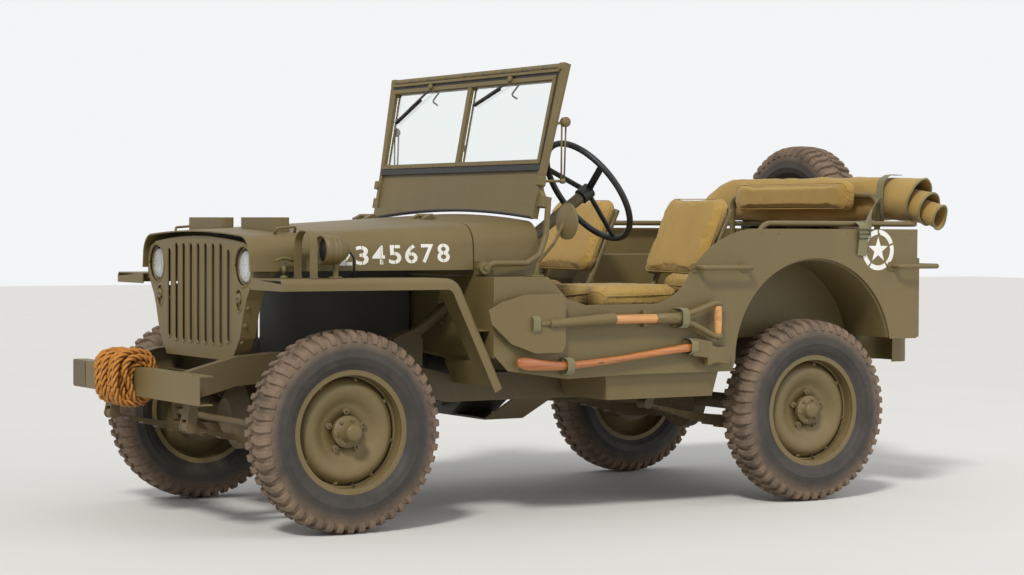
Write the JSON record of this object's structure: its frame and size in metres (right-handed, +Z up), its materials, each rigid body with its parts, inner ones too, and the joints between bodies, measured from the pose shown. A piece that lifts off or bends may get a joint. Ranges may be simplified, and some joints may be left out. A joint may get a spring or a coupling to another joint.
{
  "type": "army 4x4 car",
  "caption": "Light open army field car with four driven wheels, slotted grille guard, folding windshield, rolled canvas top, tools on the side and a spare wheel behind.",
  "frame": {"origin": "on the floor, below the middle of the car's length and between its wheels", "axes": "the car's front faces -Y, its left side +X, and +Z points up"},
  "size_m": [1.655, 3.397, 1.6671],
  "materials": {
    "blackened": "gloss",
    "canvas": "matte",
    "dark_metal": "satin",
    "engine_grey": "satin",
    "glass": "gloss",
    "painted": "satin",
    "rope": "matte",
    "tyre": "matte",
    "wood": "satin"
  },
  "bodies": {
    "chassis": {"body_tub": "painted", "canvas_roll": "canvas", "controls": "blackened", "cowl": "painted", "engine": "engine_grey", "exhaust": "dark_metal", "frame": "painted", "front_axle": "painted", "front_bumper": "painted", "front_fenders": "painted", "fuel_tank": "dark_metal", "gearbox": "engine_grey", "grab_handles": "painted", "lamp_guard": "painted", "lamps": "dark_metal", "leaf_springs": "painted", "mirror": "painted", "prop_shafts": "painted", "radiator": "dark_metal", "radiator_guard": "painted", "rear_axle": "painted", "rear_bumperettes": "painted", "rope_hank": "rope", "seat_backs": "canvas", "seat_cushions": "canvas", "seat_frames": "painted", "spare_carrier": "painted", "spare_tyre": "tyre", "spare_wheel": "painted", "steering_column": "painted", "tool_clamps": "painted", "tool_handles": "wood", "tool_heads": "painted", "top_bows": "painted", "tow_hook": "painted"},
    "hood": {"hood": "painted", "hood_blocks": "painted"},
    "windshield": {"windshield_frame": "painted", "windshield_glass": "glass", "wipers": "blackened"},
    "steering_wheel": {"steering_wheel": "blackened"},
    "knuckle_left": {"knuckle_left": "painted"},
    "knuckle_right": {"knuckle_right": "painted"},
    "tie_rod": {"tie_rod": "painted"},
    "wheel_front_left": {"wheel_front_left": "painted", "tyre_front_left": "tyre"},
    "wheel_front_right": {"wheel_front_right": "painted", "tyre_front_right": "tyre"},
    "wheel_rear_left": {"wheel_rear_left": "painted", "tyre_rear_left": "tyre"},
    "wheel_rear_right": {"wheel_rear_right": "painted", "tyre_rear_right": "tyre"}
  },
  "joints": [
    {"name": "hood_lift", "type": "hinge", "parent": "chassis", "child": "hood", "pos_m": [0, -0.5325, 1.107], "axis": [-1, 0, 0], "range_deg": [0, 110]},
    {"name": "windshield_fold", "type": "hinge", "parent": "chassis", "child": "windshield", "pos_m": [0, -0.5235, 0.92], "axis": [-1, 0, 0], "range_deg": [-100, 0]},
    {"name": "steer_left", "type": "hinge", "parent": "chassis", "child": "knuckle_left", "pos_m": [0.5225, -1.0745, 0.355], "axis": [0, 0, 1], "range_deg": [-26, 26]},
    {"name": "steer_right", "type": "hinge", "parent": "chassis", "child": "knuckle_right", "pos_m": [-0.5225, -1.0745, 0.355], "axis": [0, 0, 1], "range_deg": [-26.5, 26.5]},
    {"name": "tie_rod_shift", "type": "slide", "parent": "chassis", "child": "tie_rod", "axis": [1, 0, 0], "range_m": [-0.068, 0.068]},
    {"name": "steering_wheel_turn", "type": "hinge", "parent": "chassis", "child": "steering_wheel", "pos_m": [0.36, 0.1105, 1.205], "axis": [0, 0.8192, 0.5736], "range_deg": [-366, 366]},
    {"name": "spin_front_left", "type": "hinge", "parent": "knuckle_left", "child": "wheel_front_left", "pos_m": [0.6225, -1.0745, 0.355], "axis": [1, 0, 0], "continuous": true},
    {"name": "spin_rear_left", "type": "hinge", "parent": "chassis", "child": "wheel_rear_left", "pos_m": [0.6225, 0.9575, 0.355], "axis": [1, 0, 0], "continuous": true},
    {"name": "spin_front_right", "type": "hinge", "parent": "knuckle_right", "child": "wheel_front_right", "pos_m": [-0.6225, -1.0745, 0.355], "axis": [1, 0, 0], "continuous": true},
    {"name": "spin_rear_right", "type": "hinge", "parent": "chassis", "child": "wheel_rear_right", "pos_m": [-0.6225, 0.9575, 0.355], "axis": [1, 0, 0], "continuous": true}
  ],
  "couplings": [
    {"joint": "steer_right", "follows": "steer_left", "ratio": 1},
    {"joint": "tie_rod_shift", "follows": "steer_left", "m_per_rad": 0.147},
    {"joint": "steering_wheel_turn", "follows": "steer_left", "ratio": 14}
  ]
}
